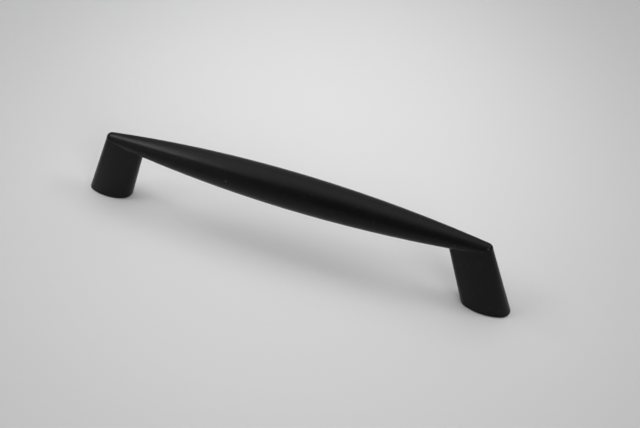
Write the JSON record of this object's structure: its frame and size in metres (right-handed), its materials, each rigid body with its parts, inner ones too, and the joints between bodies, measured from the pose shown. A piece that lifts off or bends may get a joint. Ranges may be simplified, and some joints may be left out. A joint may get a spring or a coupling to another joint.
{
  "type": "bar pull",
  "caption": "Satin black cabinet pull: a spindle-shaped bar on two splayed oval feet, tapped at the base for screws through a drawer front.",
  "frame": {"origin": "on the mounting face, midway between the two screw holes", "axes": "+X along the bar, +Z away from the drawer front"},
  "size_m": [0.1428, 0.0114, 0.028],
  "materials": {
    "black_coat": "satin black powder coat with a fine grain"
  },
  "bodies": {
    "root": {"bar_pull": "black_coat"}
  },
  "joints": []
}
